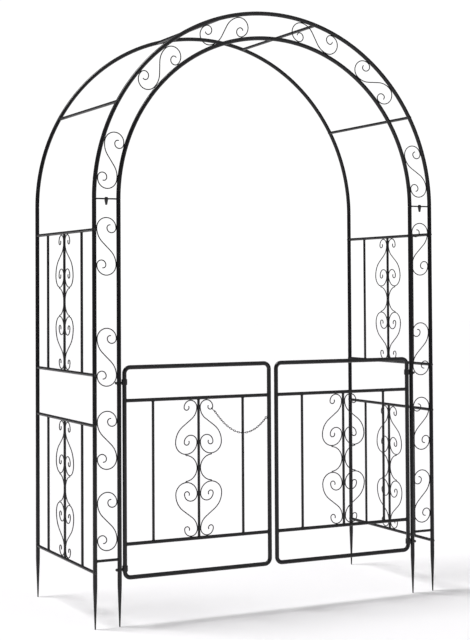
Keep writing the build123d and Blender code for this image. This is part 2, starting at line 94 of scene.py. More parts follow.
rim = 0.0008            # the rolled edge of a tube end
soft_edge = 0.0006      # the broken edge of a turned part
print("posts at x", round(inner_x, 4), round(outer_x, 4), "gate", round(hinge_x - meeting_x, 4), "wide")

# %% [markdown]
# ## A tube bender
# A real shop bends tube by pushing it round a former, one straight or one bend after another. Spin
# and extrude do the same to a ring of vertices, so every tube and scroll starts as a ring that is
# drawn along its moves. Curves with a bevel would be quicker, but spin gives evenly spaced rings and
# lets the rims be rolled in with a resize.

# %% Draw a tube along its moves


def rest():
    """Leave edit mode and select nothing."""
    if bpy.context.object and bpy.context.object.mode == "EDIT":
        bpy.ops.object.mode_set(mode="OBJECT")
    bpy.ops.object.select_all(action="DESELECT")


def pick(piece):
    """Select one piece alone and make it the active one."""
    rest()
    piece.select_set(True)
    bpy.context.view_layer.objects.active = piece


def edit_all():
    """Open the active piece in edit mode with all of it selected."""
    bpy.ops.object.mode_set(mode="EDIT")
    bpy.ops.mesh.select_all(action="SELECT")


def turn_of(direction):
    """The Euler turn that takes +Z to a direction."""
    return Vector((0, 0, 1)).rotation_difference(Vector(direction)).to_euler()


def start_ring(centre, direction, radius, sides):
    """An open ring across the start of a tube, ready to be drawn out in edit mode."""
    rest()
    bpy.ops.mesh.primitive_circle_add(vertices=sides, radius=radius, location=centre,
                                      rotation=turn_of(direction))
    bpy.ops.object.transform_apply(location=True, rotation=True, scale=True)
    edit_all()


def extrude_ring(offset, centre=None, scale=1.0):
    """Draw the selected ring on by an offset, and open or close it about its new centre."""
    bpy.ops.mesh.extrude_region_move(TRANSFORM_OT_translate={"value": tuple(offset)})
    if scale != 1.0:
        bpy.ops.transform.resize(value=(scale, scale, scale), center_override=tuple(centre))


def close_tube(name, smooth_angle=40):
    """Cap the open ends, turn the faces outwards and leave the finished object."""
    bpy.ops.mesh.select_all(action="SELECT")
    bpy.ops.mesh.remove_doubles(threshold=0.00001)
    bpy.ops.mesh.select_all(action="DESELECT")
    bpy.ops.mesh.select_non_manifold()
    bpy.ops.mesh.fill_holes(sides=0)
    bpy.ops.mesh.select_all(action="SELECT")
    bpy.ops.mesh.normals_make_consistent(inside=False)
    bpy.ops.object.mode_set(mode="OBJECT")
    bpy.ops.object.shade_smooth_by_angle(angle=radians(smooth_angle))
    piece = bpy.context.object
    piece.name = name
    piece.data.name = name
    return piece


def walk(start, heading, moves):
    """Where a run of moves ends in the XZ plane.

    A move is a bend, as (radius, degrees), with a left turn positive, or a straight, as (None, length).
    """
    x, z = start
    for radius, amount in moves:
        if radius is None:
            x += amount * cos(radians(heading))
            z += amount * sin(radians(heading))
        else:
            side = 1 if amount > 0 else -1
            x += side * radius * (sin(radians(heading + amount)) - sin(radians(heading)))
            z -= side * radius * (cos(radians(heading + amount)) - cos(radians(heading)))
            heading += amount
    return (x, z), heading


def backwards(start, heading, moves):
    """The same line walked from its far end."""
    end, last = walk(start, heading, moves)
    back = [(radius, amount if radius is None else -amount) for radius, amount in reversed(moves)]
    return end, last + 180, back


def draw_wire(name, start, heading, moves, radius, sides=14, step=9.0, closed=False):
    """A round wire or tube in the XZ plane with softly rounded ends."""
    place, way = Vector((start[0], 0, start[1])), heading
    forward = Vector((cos(radians(way)), 0, sin(radians(way))))
    rim = 0.0 if closed else radius * 0.35
    start_ring(place - forward * rim, forward, radius if closed else radius * 0.7, sides)
    if rim:
        extrude_ring(forward * rim, place, 1 / 0.7)
    for bend, amount in moves:
        if bend is None:
            extrude_ring(forward * amount)
            place = place + forward * amount
            continue
        side = 1 if amount > 0 else -1
        left = Vector((-forward.z, 0, forward.x))
        centre = place + left * side * bend
        bpy.ops.mesh.spin(steps=max(3, ceil(abs(amount) / step)), angle=radians(abs(amount)),
                          center=centre, axis=(0, side, 0), dupli=False)
        (x, z), way = walk((place.x, place.z), way, [(bend, amount)])
        place = Vector((x, 0, z))
        forward = Vector((cos(radians(way)), 0, sin(radians(way))))
    if rim:
        extrude_ring(forward * rim, place + forward * rim, 0.7)
    return close_tube(name)


def turned(name, base, direction, profile, sides=32, smooth_angle=35):
    """A shape of revolution, as off a lathe. The profile is (radius, distance along the axis)."""
    axis = Vector(direction).normalized()
    radius, height = profile[0]
    centre = Vector(base) + axis * height
    start_ring(centre, axis, radius, sides)
    for next_radius, next_height in profile[1:]:
        offset = axis * (next_height - height)
        centre = centre + offset
        extrude_ring(offset, centre, next_radius / radius)
        radius, height = next_radius, next_height
    return close_tube(name, smooth_angle)


def straight_tube(name, start, end, radius, sides=32):
    """A straight tube with rolled rims."""
    length = (Vector(end) - Vector(start)).length
    rim = radius * 0.08
    profile = [(radius - rim, 0), (radius, rim), (radius, length - rim), (radius - rim, length)]
    return turned(name, start, Vector(end) - Vector(start), profile, sides)


def placed_copy(piece, name, matrix):
    """A copy with its own mesh, its place in the mesh and its faces outwards."""
    pick(piece)
    bpy.ops.object.duplicate()
    copy = bpy.context.object
    copy.name = name
    copy.data.name = name
    copy.matrix_world = matrix
    bpy.ops.object.transform_apply(location=True, rotation=True, scale=True)
    if matrix.to_3x3().determinant() < 0:
        edit_all()
        bpy.ops.mesh.normals_make_consistent(inside=False)
        bpy.ops.object.mode_set(mode="OBJECT")
    return copy


def joined(name, pieces):
    """Several solids as the one object that stands for a node."""
    rest()
    for piece in pieces:
        piece.select_set(True)
    bpy.context.view_layer.objects.active = pieces[0]
    if len(pieces) > 1:
        bpy.ops.object.join()
    whole = bpy.context.object
    whole.name = name
    whole.data.name = name
    return whole


def discard(*pieces):
    """Remove the patterns that copies were taken from."""
    for piece in pieces:
        bpy.data.objects.remove(piece, do_unlink=True)


mirror_x = Matrix.Scale(-1, 4, (1, 0, 0))
body_of_side = {"left": "left_gate", "right": "right_gate"}

# %% [markdown]
# ## The finish
# Powder coat is sprayed on as a dry powder and baked. It flows into a satin black skin with a fine
# orange peel, it lies a little thicker and glossier in some places than in others, and it thins
# over edges. One node group gives the peel, the patches and the dust, and each material chooses
# how strong they are.

# %% The coat's shared pattern


def coat_pattern():
    """A group that puts out a colour share, a roughness and a normal for powder coat."""
    group = bpy.data.node_groups.new("powder coat pattern", "ShaderNodeTree")
    for label, value in (("Peel Size", 900.0), ("Peel Depth", 0.1), ("Base Roughness", 0.35),
                         ("Roughness Spread", 0.12)):
        socket = group.interface.new_socket(name=label, in_out="INPUT", socket_type="NodeSocketFloat")
        socket.default_value = value
    group.interface.new_socket(name="Shade", in_out="OUTPUT", socket_type="NodeSocketFloat")
    group.interface.new_socket(name="Dust", in_out="OUTPUT", socket_type="NodeSocketFloat")
    group.interface.new_socket(name="Roughness", in_out="OUTPUT", socket_type="NodeSocketFloat")
    group.interface.new_socket(name="Normal", in_out="OUTPUT", socket_type="NodeSocketVector")
    nodes, links = group.nodes, group.links
    given = nodes.new("NodeGroupInput")
    out = nodes.new("NodeGroupOutput")
    where = nodes.new("ShaderNodeTexCoord")
    peel = nodes.new("ShaderNodeTexNoise")
    peel.inputs["Detail"].default_value = 3.0
    links.new(where.outputs["Object"], peel.inputs["Vector"])
    links.new(given.outputs["Peel Size"], peel.inputs["Scale"])
    patches = nodes.new("ShaderNodeTexNoise")
    patches.inputs["Scale"].default_value = 14.0
    patches.inputs["Detail"].default_value = 4.0
    links.new(where.outputs["Object"], patches.inputs["Vector"])
    specks = nodes.new("ShaderNodeTexNoise")
    specks.inputs["Scale"].default_value = 320.0
    specks.inputs["Detail"].default_value = 5.0
    links.new(where.outputs["Object"], specks.inputs["Vector"])
    dust = nodes.new("ShaderNodeMapRange")
    dust.inputs["From Min"].default_value = 0.56
    dust.inputs["From Max"].default_value = 0.78
    links.new(specks.outputs["Fac"], dust.inputs["Value"])
    spread = nodes.new("ShaderNodeMath")
    spread.operation = "MULTIPLY_ADD"
    centred = nodes.new("ShaderNodeMath")
    centred.operation = "SUBTRACT"
    centred.inputs[1].default_value = 0.5
    links.new(patches.outputs["Fac"], centred.inputs[0])
    links.new(centred.outputs[0], spread.inputs[0])
    links.new(given.outputs["Roughness Spread"], spread.inputs[1])
    links.new(given.outputs["Base Roughness"], spread.inputs[2])
    bump = nodes.new("ShaderNodeBump")
    bump.inputs["Distance"].default_value = 0.0004
    links.new(given.outputs["Peel Depth"], bump.inputs["Strength"])
    links.new(peel.outputs["Fac"], bump.inputs["Height"])
    links.new(patches.outputs["Fac"], out.inputs["Shade"])
    links.new(dust.outputs["Result"], out.inputs["Dust"])
    links.new(spread.outputs[0], out.inputs["Roughness"])
    links.new(bump.outputs["Normal"], out.inputs["Normal"])
    return group


pattern = coat_pattern()
print("shared pattern with", len(pattern.nodes), "nodes")

# %% The coats


def coat(name, dark, light, dust, peel_size, peel_depth, roughness, spread, gloss=0.0):
    """A coated metal. Dark and light are the two shades it wanders between."""
    material = bpy.data.materials.new(name)
    material.use_nodes = True
    nodes, links = material.node_tree.nodes, material.node_tree.links
    shader = nodes["Principled BSDF"]
    shader.inputs["Coat Weight"].default_value = gloss
    shader.inputs["Coat Roughness"].default_value = 0.18
    shader.inputs["IOR"].default_value = 1.5
    shader.inputs["Specular IOR Level"].default_value = 0.28
    shared = nodes.new("ShaderNodeGroup")
    shared.node_tree = pattern
    shared.inputs["Peel Size"].default_value = peel_size
    shared.inputs["Peel Depth"].default_value = peel_depth
    shared.inputs["Base Roughness"].default_value = roughness
    shared.inputs["Roughness Spread"].default_value = spread
    shade = nodes.new("ShaderNodeMix")
    shade.data_type = "RGBA"
    shade.inputs["A"].default_value = (*dark, 1)
    shade.inputs["B"].default_value = (*light, 1)
    links.new(shared.outputs["Shade"], shade.inputs["Factor"])
    dusty = nodes.new("ShaderNodeMix")
    dusty.data_type = "RGBA"
    dusty.inputs["B"].default_value = (*dust, 1)
    thin = nodes.new("ShaderNodeMath")
    thin.operation = "MULTIPLY"
    thin.inputs[1].default_value = 0.35
    links.new(shared.outputs["Dust"], thin.inputs[0])
    links.new(thin.outputs[0], dusty.inputs["Factor"])
    links.new(shade.outputs["Result"], dusty.inputs["A"])
    links.new(dusty.outputs["Result"], shader.inputs["Base Color"])
    links.new(shared.outputs["Roughness"], shader.inputs["Roughness"])
    links.new(shared.outputs["Normal"], shader.inputs["Normal"])
    return material


soft_black = (0.0035, 0.003, 0.004)
worn_black = (0.009, 0.0085, 0.010)
pale_dust = (0.03, 0.028, 0.03)
zinc_black = (0.012, 0.012, 0.013)
zinc_grey = (0.032, 0.031, 0.033)
lacquer_black = (0.014, 0.013, 0.014)
lacquer_grey = (0.03, 0.028, 0.03)
tube_coat = coat("satin black powder coat on tube", soft_black, worn_black, pale_dust,
                 peel_size=650.0, peel_depth=0.12, roughness=0.36, spread=0.16, gloss=0.15)
wire_coat = coat("satin black powder coat on wire", soft_black, worn_black, pale_dust,
                 peel_size=1100.0, peel_depth=0.10, roughness=0.40, spread=0.14, gloss=0.05)
weld_coat = coat("black powder coat over weld", soft_black, worn_black, pale_dust,
                 peel_size=420.0, peel_depth=0.30, roughness=0.46, spread=0.18)
fixing_coat = coat("black zinc on fixings", zinc_black, zinc_grey, pale_dust,
                   peel_size=1500.0, peel_depth=0.08, roughness=0.30, spread=0.12, gloss=0.1)
chain_coat = coat("black lacquer on chain wire", lacquer_black, lacquer_grey, pale_dust,
                  peel_size=1800.0, peel_depth=0.08, roughness=0.32, spread=0.14, gloss=0.1)
print("coats:", ", ".join(m.name for m in bpy.data.materials))

# %% Hand a finished piece to the frame
off_cad = []          # how far each piece's box is from its CAD box, with its name


def off_by(piece, nodes):
    """The largest distance between a piece's box and the box of the nodes it stands for."""
    boxes = [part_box(node) for node in nodes]
    corners = [piece.matrix_world @ Vector(corner) for corner in piece.bound_box]
    worst = 0.0
    for axis in range(3):
        low = min(box[0][axis] for box in boxes)
        high = max(box[1][axis] for box in boxes)
        worst = max(worst, abs(min(c[axis] for c in corners) - low),
                    abs(max(c[axis] for c in corners) - high))
    return worst


def finish_piece(piece, body, material, *nodes, slot="powder_coat"):
    """Give a piece its coat, let it ride, and say which CAD nodes it stands for."""
    piece.data.materials.clear()
    piece.data.materials.append(material)
    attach(piece, body)
    if nodes:
        off_cad.append((round(off_by(piece, nodes), 4), piece.name))
        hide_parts(*nodes)
    return piece


# %% [markdown]
# ## Posts and ground spikes
# A post is a straight tube. Its mouth at the top is rolled where the arch plugs in, and the spike is
# a tube end that has been swaged down to a blunt point. Both are shapes of revolution, so each is a
# ring drawn upwards and opened or closed as it goes.

# %% Posts and spikes
spike_tip = 0.0025
spike_rings = 10


def post(name, x, y):
    """A post with rolled rims at both ends."""
    profile = [(tube_radius - rim, spike_z), (tube_radius, spike_z + rim),
               (tube_radius, joint_z - 2 * rim), (tube_radius - rim * 0.6, joint_z - 0.6 * rim),
               (tube_radius - 1.5 * rim, joint_z)]
    return turned(name, (x, y, 0), (0, 0, 1), profile)


def spike(x, y):
    """A swaged point: flat tip, long taper, a soft shoulder under the post."""
    profile = [(spike_tip - soft_edge, 0), (spike_tip, soft_edge)]
    for ring in range(1, spike_rings + 1):
        share = ring / spike_rings
        profile.append((spike_tip + (tube_radius - spike_tip) * share,
                        soft_edge + (spike_z - 2 * soft_edge) * share))
    profile.append((tube_radius - rim, spike_z))
    return turned("spike", (x, y, 0), (0, 0, 1), profile)


for side, sign in (("left", -1), ("right", 1)):
    for kind, x, y in (("front_outer", outer_x, front_y), ("front_inner", inner_x, front_y),
                       ("rear", outer_x, rear_y)):
        node = f"{side}_{kind}_post"
        finish_piece(post(node + "_tube", sign * x, y), "frame", tube_coat, node)
front_spikes = [spike(sign * x, front_y) for sign in (-1, 1) for x in (inner_x, outer_x)]
rear_spikes = [spike(sign * outer_x, rear_y) for sign in (-1, 1)]
finish_piece(joined("front_spikes", front_spikes), "frame", tube_coat, "front_ground_spikes")
finish_piece(joined("rear_spikes", rear_spikes), "frame", tube_coat, "rear_ground_spikes")
print("posts", round(joint_z - spike_z, 3), "m, spikes", round(spike_z, 3), "m")

# %% [markdown]
# ## The arches
# Each arch is two quarter bends that meet at the crown. The foot of each bend is swaged to plug into
# a post, which leaves a fine groove, and the two halves leave another at the crown. Spin makes the
# bend about the middle of the arch.

# %% Arches
groove = 1.2 * rim      # half the width of the groove that two tube ends leave between them
arch_steps = 60


def half_arch(name, radius, y):
    """A right hand quarter bend with a groove at each end."""
    mouth = tube_radius - 1.5 * rim
    start_ring((radius, y, joint_z), (0, 0, 1), mouth, 32)
    extrude_ring((0, 0, groove), (radius, y, joint_z + groove), tube_radius / mouth)
    start_angle = degrees(groove / radius)
    bpy.ops.mesh.spin(steps=arch_steps, angle=radians(90 - 2 * start_angle), center=(0, y, joint_z),
                      axis=(0, 1, 0), dupli=False)
    top = Vector((0, y, joint_z + radius))
    extrude_ring((-groove, 0, 0), top, (tube_radius - rim) / tube_radius)
    return close_tube(name)


for kind, radius, y in (("front_outer", outer_x, front_y), ("front_inner", inner_x, front_y),
                        ("rear", outer_x, rear_y)):
    right = half_arch(f"right_{kind}_arch_tube", radius, y)
    left = placed_copy(right, f"left_{kind}_arch_tube", mirror_x)
    finish_piece(right, "frame", tube_coat, f"right_{kind}_arch")
    finish_piece(left, "frame", tube_coat, f"left_{kind}_arch")
print("arch radii", round(outer_x, 3), round(inner_x, 3))

# %% [markdown]
# ## Ladder scrolls
# The ladder between the two front posts holds S scrolls of thin wire. One S is drawn from the tip of
# its upper curl to the tip of its lower one, and every other S on the ladders and round the arch
# is a copy that is moved and turned. On the right of the arch the two lowest were fitted the other
# way round, so they are turned over here too.

# %% One ladder scroll
lobe_distance = 0.1345
ladder_shoulder_radius = 0.072
ladder_curl_radius = 0.0175
ladder_tail_radius = 0.011
ladder_tail_turn = 100
lobe_radius = (outer_x - inner_x) / 2 - tube_radius - wire_radius - weld_gap
half_distance = lobe_distance / 2
across = lobe_radius - ladder_shoulder_radius
reach = hypot(across, half_distance)
heading = degrees(atan2(half_distance, across)) - degrees(asin(ladder_shoulder_radius / reach))
half_moves = [(None, sqrt(reach ** 2 - ladder_shoulder_radius ** 2)),
              (ladder_shoulder_radius, 90 - heading), (lobe_radius, 180),
              (ladder_curl_radius, 180), (ladder_tail_radius, ladder_tail_turn)]
tip, tip_heading, inward = backwards((0, 0), heading, half_moves)
ladder_pattern = draw_wire("ladder_scroll", tip, tip_heading, inward + half_moves, wire_radius)
print("one scroll has", len(ladder_pattern.data.polygons), "faces")

# %% Ladder and arch scrolls
leg_heights = (0.383, 0.675, 0.975, 1.377)
lobe_angle = asin(half_distance / ladder_x)
arch_angles = (12.0, 46.5, 73.0)
turned_scrolls = 2
leg_places = [Matrix.Translation((ladder_x, front_y, z)) for z in leg_heights]
arch_places = []
for angle in arch_angles:
    reach = ladder_x * cos(lobe_angle)
    place = (reach * cos(radians(angle)), front_y, joint_z + reach * sin(radians(angle)))
    arch_places.append(Matrix.Translation(place) @ Matrix.Rotation(radians(-angle), 4, "Y"))
right_arch_places = [place @ mirror_x if number < turned_scrolls else place
                     for number, place in enumerate(arch_places)]
scroll_places = {"right_leg_scrolls": leg_places, "right_arch_scrolls": right_arch_places,
                 "left_leg_scrolls": [mirror_x @ place for place in leg_places],
                 "left_arch_scrolls": [mirror_x @ place for place in arch_places]}
for node, places in scroll_places.items():
    wires = [placed_copy(ladder_pattern, "scroll", place) for place in places]
    finish_piece(joined(f"{node}_wire", wires), "frame", wire_coat, node)
discard(ladder_pattern)
print("leg scrolls at", [round(z, 3) for z in leg_heights])

# %% [markdown]
# ## Side panels and gate scrollwork
# Panels and gates share one pattern: four S scrolls with a small upper curl, a long neck and a big
# lobe, and two C ties that close the waist. It is built once, flat in the XZ plane, and then copied
# onto each panel and gate.

# %% The scrollwork pattern
curl_radius = 0.026
tail_radius = 0.010
tip_radius = 0.0078
tip_turn = 35
neck_radius = 0.0535
shoulder_radius = 0.074
panel_lobe_radius = 0.04375
panel_half_waist = 0.05575
gate_half_waist = 0.05225
bar_line = bar_radius + wire_radius + weld_gap


def panel_scroll(name, edge_radius, lobe_height):
    """The S to the right of a centre bar, hung from the upper rail's axis at the origin."""
    curl_height = -(edge_radius + wire_radius + weld_gap + curl_radius)
    drop = curl_height - lobe_height
    across = 2 * panel_lobe_radius - shoulder_radius - neck_radius
    distance = hypot(across, drop)
    reach = neck_radius + shoulder_radius
    heading = degrees(atan2(-drop, across)) + degrees(asin(reach / distance))
    straight = sqrt(distance ** 2 - reach ** 2)
    curl = [(curl_radius, -180), (tail_radius, -180), (tip_radius, -tip_turn)]
    start, start_heading, inward = backwards((bar_line, curl_height), 90, curl)
    down = [(neck_radius, heading + 90), (None, straight), (shoulder_radius, -90 - heading),
            (panel_lobe_radius, -180)]
    return draw_wire(name, start, start_heading, inward + down + curl, wire_radius)


def tie_circle(half_height, half_waist):
    """The middle and radius of the C that touches both lobes and the centre bar."""
    rise = half_waist + panel_lobe_radius
    touch = panel_lobe_radius + 2 * wire_radius + weld_gap
    radius = (rise ** 2 + panel_lobe_radius ** 2 - touch ** 2) / (2 * (panel_lobe_radius + touch))
    return Vector((bar_line + radius, 0, -half_height)), radius


def waist_tie(name, half_height, half_waist):
    """The C between an upper and a lower S."""
    centre, radius = tie_circle(half_height, half_waist)
    first = degrees(atan2(half_waist + panel_lobe_radius, panel_lobe_radius - radius))
    start = (centre.x + radius * cos(radians(first)), centre.z + radius * sin(radians(first)))
    return draw_wire(name, start, first + 90, [(radius, 2 * (180 - first))], wire_radius)


def scrollwork(name, edge_radius, height, half_waist):
    """Four S scrolls and two ties about a centre bar."""
    flip_z = Matrix.Translation((0, 0, -height)) @ Matrix.Scale(-1, 4, (0, 0, 1))
    scroll = panel_scroll("scroll", edge_radius, half_waist + panel_lobe_radius - height / 2)
    lower = placed_copy(scroll, "scroll", flip_z)
    tie = waist_tie("tie", height / 2, half_waist)
    copies = [placed_copy(piece, "copy", mirror_x) for piece in (scroll, lower, tie)]
    return joined(name, [scroll, lower, tie] + copies)


gate_rise = gate_rail_heights[1] - gate_rail_heights[0]
panel_rise = span("right_upper_panel_rails").z - 2 * rail_radius
gate_pattern = scrollwork("gate_pattern", gate_rail_radius, gate_rise, gate_half_waist)
panel_pattern = scrollwork("panel_pattern", rail_radius, panel_rise, panel_half_waist)
print("scrollwork faces", len(gate_pattern.data.polygons),
      "heights", round(gate_rise, 3), round(panel_rise, 3))

# %% Place the scrollwork
quarter_turn = Matrix.Rotation(radians(90), 4, "Z")
for side, sign in (("left", -1), ("right", 1)):
    place = Matrix.Translation((sign * gate_middle_x, front_y, gate_rail_heights[1]))
    piece = placed_copy(gate_pattern, f"{side}_gate_scrolls", place)
    finish_piece(piece, body_of_side[side], wire_coat, f"{side}_gate_scrollwork")
    for level in ("lower", "upper"):
        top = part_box(f"{side}_{level}_panel_rails")[1].z - rail_radius
        place = Matrix.Translation((sign * outer_x, 0, top)) @ quarter_turn
        piece = placed_copy(panel_pattern, f"{side}_{level}_panel_scrolls", place)
        finish_piece(piece, "frame", wire_coat, f"{side}_{level}_panel_scrollwork")
discard(gate_pattern, panel_pattern)

# %% [markdown]
# ## Rails, bars and cross bars
# Rails run between the tubes and bars run between the rails. Their ends are cut to fit round what
# they meet, so here each stops just inside it and the weld covers the join.

# %% Rails and bars
bite = 0.004            # how far a cut end reaches into what it meets


def rail_along_y(name, x, z):
    """A rail from the front tube to the rear tube."""
    return straight_tube(name, (x, front_y + tube_radius - bite, z), (x, rear_y - tube_radius + bite, z),
                         rail_radius, 28)


def upright_bar(name, x, y, low, high, edge_radius):
    """A bar between two rail axes, from edge to edge."""
    return straight_tube(name, (x, y, low + edge_radius - bite), (x, y, high - edge_radius + bite),
                         bar_radius, 28)


for side, sign in (("left", -1), ("right", 1)):
    for level in ("lower", "upper"):
        low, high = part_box(f"{side}_{level}_panel_rails")
        heights = (low.z + rail_radius, high.z - rail_radius)
        rails = [rail_along_y("rail", sign * outer_x, z) for z in heights]
        bars = [upright_bar("bar", sign * outer_x, y, *heights, rail_radius)
                for y in (-bar_offset, 0, bar_offset)]
        finish_piece(joined(f"{side}_{level}_rails", rails), "frame", tube_coat,
                     f"{side}_{level}_panel_rails")
        finish_piece(joined(f"{side}_{level}_bars", bars), "frame", tube_coat,
                     f"{side}_{level}_panel_bars")
    for kind in ("shoulder_bar", "crown_bar"):
        place = middle(f"{side}_{kind}")
        finish_piece(rail_along_y(f"{side}_{kind}_tube", place.x, place.z), "frame", tube_coat,
                     f"{side}_{kind}")
    foot = straight_tube(f"{side}_foot_bar_tube",
                         (sign * (inner_x + tube_radius - bite), front_y, foot_bar_z),
                         (sign * (outer_x - tube_radius + bite), front_y, foot_bar_z), bar_radius, 28)
    finish_piece(foot, "frame", tube_coat, f"{side}_foot_bar")
print("rails and bars placed")

# %% [markdown]
# ## Gates
# A gate is one length of tube bent into a loop and closed with a weld in the middle of the bottom
# run. The loop is drawn all the way round and its last ring is merged with its first.

# %% Gate loops
gate_width = hinge_x - meeting_x
gate_height = gate_top - gate_bottom
side_run = gate_height - 2 * gate_bend_radius
end_run = gate_width - 2 * gate_bend_radius
loop_moves = [(None, end_run / 2), (gate_bend_radius, 90), (None, side_run), (gate_bend_radius, 90),
              (None, end_run), (gate_bend_radius, 90), (None, side_run), (gate_bend_radius, 90),
              (None, end_run / 2)]
loop_pattern = draw_wire("loop", (0, gate_bottom), 0, loop_moves, tube_radius, 32, 7.5, closed=True)
for side, sign in (("left", -1), ("right", 1)):
    place = Matrix.Translation((sign * gate_middle_x, front_y, 0))
    loop = placed_copy(loop_pattern, f"{side}_gate_loop", place)
    finish_piece(loop, body_of_side[side], tube_coat, f"{side}_gate_frame")
    rails = [straight_tube("rail", (sign * (meeting_x + tube_radius - bite), front_y, z),
                           (sign * (hinge_x - tube_radius + bite), front_y, z), gate_rail_radius, 28)
             for z in gate_rail_heights]
    finish_piece(joined(f"{side}_gate_rail_tubes", rails), body_of_side[side], tube_coat,
                 f"{side}_gate_rails")
    bars = [upright_bar("bar", sign * gate_middle_x + offset, front_y, *gate_rail_heights, gate_rail_radius)
            for offset in (-bar_offset, bar_offset)]
    finish_piece(joined(f"{side}_gate_plain_bars", bars), body_of_side[side], tube_coat, f"{side}_gate_bars")
    centre = upright_bar(f"{side}_gate_middle_bar", sign * gate_middle_x, front_y, *gate_rail_heights,
                         gate_rail_radius)
    finish_piece(centre, body_of_side[side], tube_coat, f"{side}_gate_centre_bar")
discard(loop_pattern)
print("gate loop", round(gate_width, 4), "by", round(gate_height, 4))

# %% [markdown]
# ## Straps, bolts and cone nuts
# At the joint between the ladder and the arch, two flat straps lie one on the other with a bolt down
# through both. The nut below it is a long cone, which shows in the ladder like a drip. Straps are cut
# from flat bar, so they get a small bevel. The bolt's head is a six sided ring with its rim turned
# down, and the cone is turned on a lathe.

# %% Straps and their bolts
strap_edge = 0.0005
bolt_radius = 0.003
cone_tip_radius = 0.0034


def flat_strap(name, low, high):
    """A flat bar between two corners with its edges broken."""
    rest()
    bpy.ops.mesh.primitive_cube_add(size=1, location=(Vector(low) + Vector(high)) / 2)
    strap = bpy.context.object
    strap.scale = Vector(high) - Vector(low)
    bpy.ops.object.transform_apply(location=True, rotation=True, scale=True)
    edit_all()
    bpy.ops.mesh.bevel(offset=strap_edge, segments=2, affect="EDGES")
    return close_tube(name)


def hexagon_head(name, base, direction, flats, height):
    """A hexagon with the corners of its free face turned down."""
    corner = flats / 2 / cos(radians(30))
    profile = [(corner * 0.97, 0), (corner, height * 0.08), (corner, height * 0.86), (corner * 0.9, height)]
    return turned(name, base, direction, profile, 6, 20)


strap_low, strap_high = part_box("upper_joint_straps")
strap_thickness = strap_high.z - strap_low.z
strap_half_width = (strap_high.y - strap_low.y) / 2
head_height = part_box("joint_bolts")[1].z - strap_high.z
bolt_flats = span("joint_bolts").y
cone_low, cone_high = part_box("cone_nuts")
cone_radius = (cone_high.y - cone_low.y) / 2
for name, low_z, node in (("lower_straps", joint_z - strap_thickness, "lower_joint_straps"),
                          ("upper_straps", joint_z, "upper_joint_straps")):
    ends = (inner_x + tube_radius - bite / 2, outer_x - tube_radius + bite / 2)
    straps = [flat_strap("strap", (min(sign * x for x in ends), front_y - strap_half_width, low_z),
                         (max(sign * x for x in ends), front_y + strap_half_width, low_z + strap_thickness))
              for sign in (-1, 1)]
    finish_piece(joined(name, straps), "frame", tube_coat, node)
bolts, cones = [], []
for sign in (-1, 1):
    seat = (sign * ladder_x, front_y, joint_z + strap_thickness)
    bolts.append(hexagon_head("head", seat, (0, 0, 1), bolt_flats, head_height))
    shank_length = joint_z + strap_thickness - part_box("joint_bolts")[0].z
    shank = [(bolt_radius, 0), (bolt_radius, shank_length - soft_edge),
             (bolt_radius - soft_edge, shank_length)]
    bolts.append(turned("shank", seat, (0, 0, -1), shank, 16))
    cone_height = cone_high.z - cone_low.z
    cone = [(cone_radius - soft_edge, 0), (cone_radius, soft_edge), (cone_radius * 0.985, 0.0014),
            (cone_tip_radius + 0.0004, cone_height - 0.0012), (cone_tip_radius, cone_height - 0.0004),
            (cone_tip_radius - 0.0008, cone_height)]
    cones.append(turned("cone", (sign * ladder_x, front_y, cone_high.z), (0, 0, -1), cone))
finish_piece(joined("strap_bolts", bolts), "frame", fixing_coat, "joint_bolts")
finish_piece(joined("cone_shaped_nuts", cones), "frame", fixing_coat, "cone_nuts")
print("straps", round(strap_thickness * 1000, 2), "mm thick, cones", round(cone_height * 1000, 1), "mm long")

# %% [markdown]
# ## Pan head screws
# The rails are held by a screw at each end, with a domed head and a six sided socket for the key.
# The head is turned, and a hexagonal plug is cut out of it once before the copies are made.

# %% Screws
screw_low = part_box("cross_bar_screws")[0]
screw_seat = -(front_y - tube_radius)
head_depth = -screw_low.y - screw_seat
screw_radius = 0.0025
screw_length = 0.027
head_radius = 0.005
head_edge = 0.0003
key_width = 0.003
profile = [(screw_radius - soft_edge, -screw_length), (screw_radius, -screw_length + soft_edge),
           (screw_radius, 0), (head_radius - head_edge, 0), (head_radius, head_edge),
           (head_radius, head_depth * 0.4)]
for step in range(1, 6):
    swing = radians(step * 15)
    profile.append((head_radius - head_depth * 0.6 * (1 - cos(swing)),
                    head_depth * (0.4 + 0.6 * sin(swing))))
profile.append((head_radius - head_depth * 0.7, head_depth))
screw = turned("screw", (0, 0, 0), (0, -1, 0), profile, 24)
plug = hexagon_head("plug", (0, -head_depth * 0.35, 0), (0, -1, 0), key_width, head_depth)
pick(screw)
bpy.ops.object.modifier_add(type="BOOLEAN")
screw.modifiers[-1].object = plug
screw.modifiers[-1].operation = "DIFFERENCE"
bpy.ops.object.modifier_apply(modifier=screw.modifiers[-1].name)
discard(plug)
edit_all()
screw = close_tube("screw", 30)
half_turn = Matrix.Rotation(radians(180), 4, "Z")
rail_heights = [height for level in ("lower", "upper")
                for height in (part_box(f"right_{level}_panel_rails")[0].z + rail_radius,
                               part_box(f"right_{level}_panel_rails")[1].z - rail_radius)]
rail_places = [(sign * outer_x, z) for sign in (-1, 1) for z in rail_heights]
cross_places = [(middle(f"{side}_{kind}").x, middle(f"{side}_{kind}").z)
                for side in ("left", "right") for kind in ("shoulder_bar", "crown_bar")]
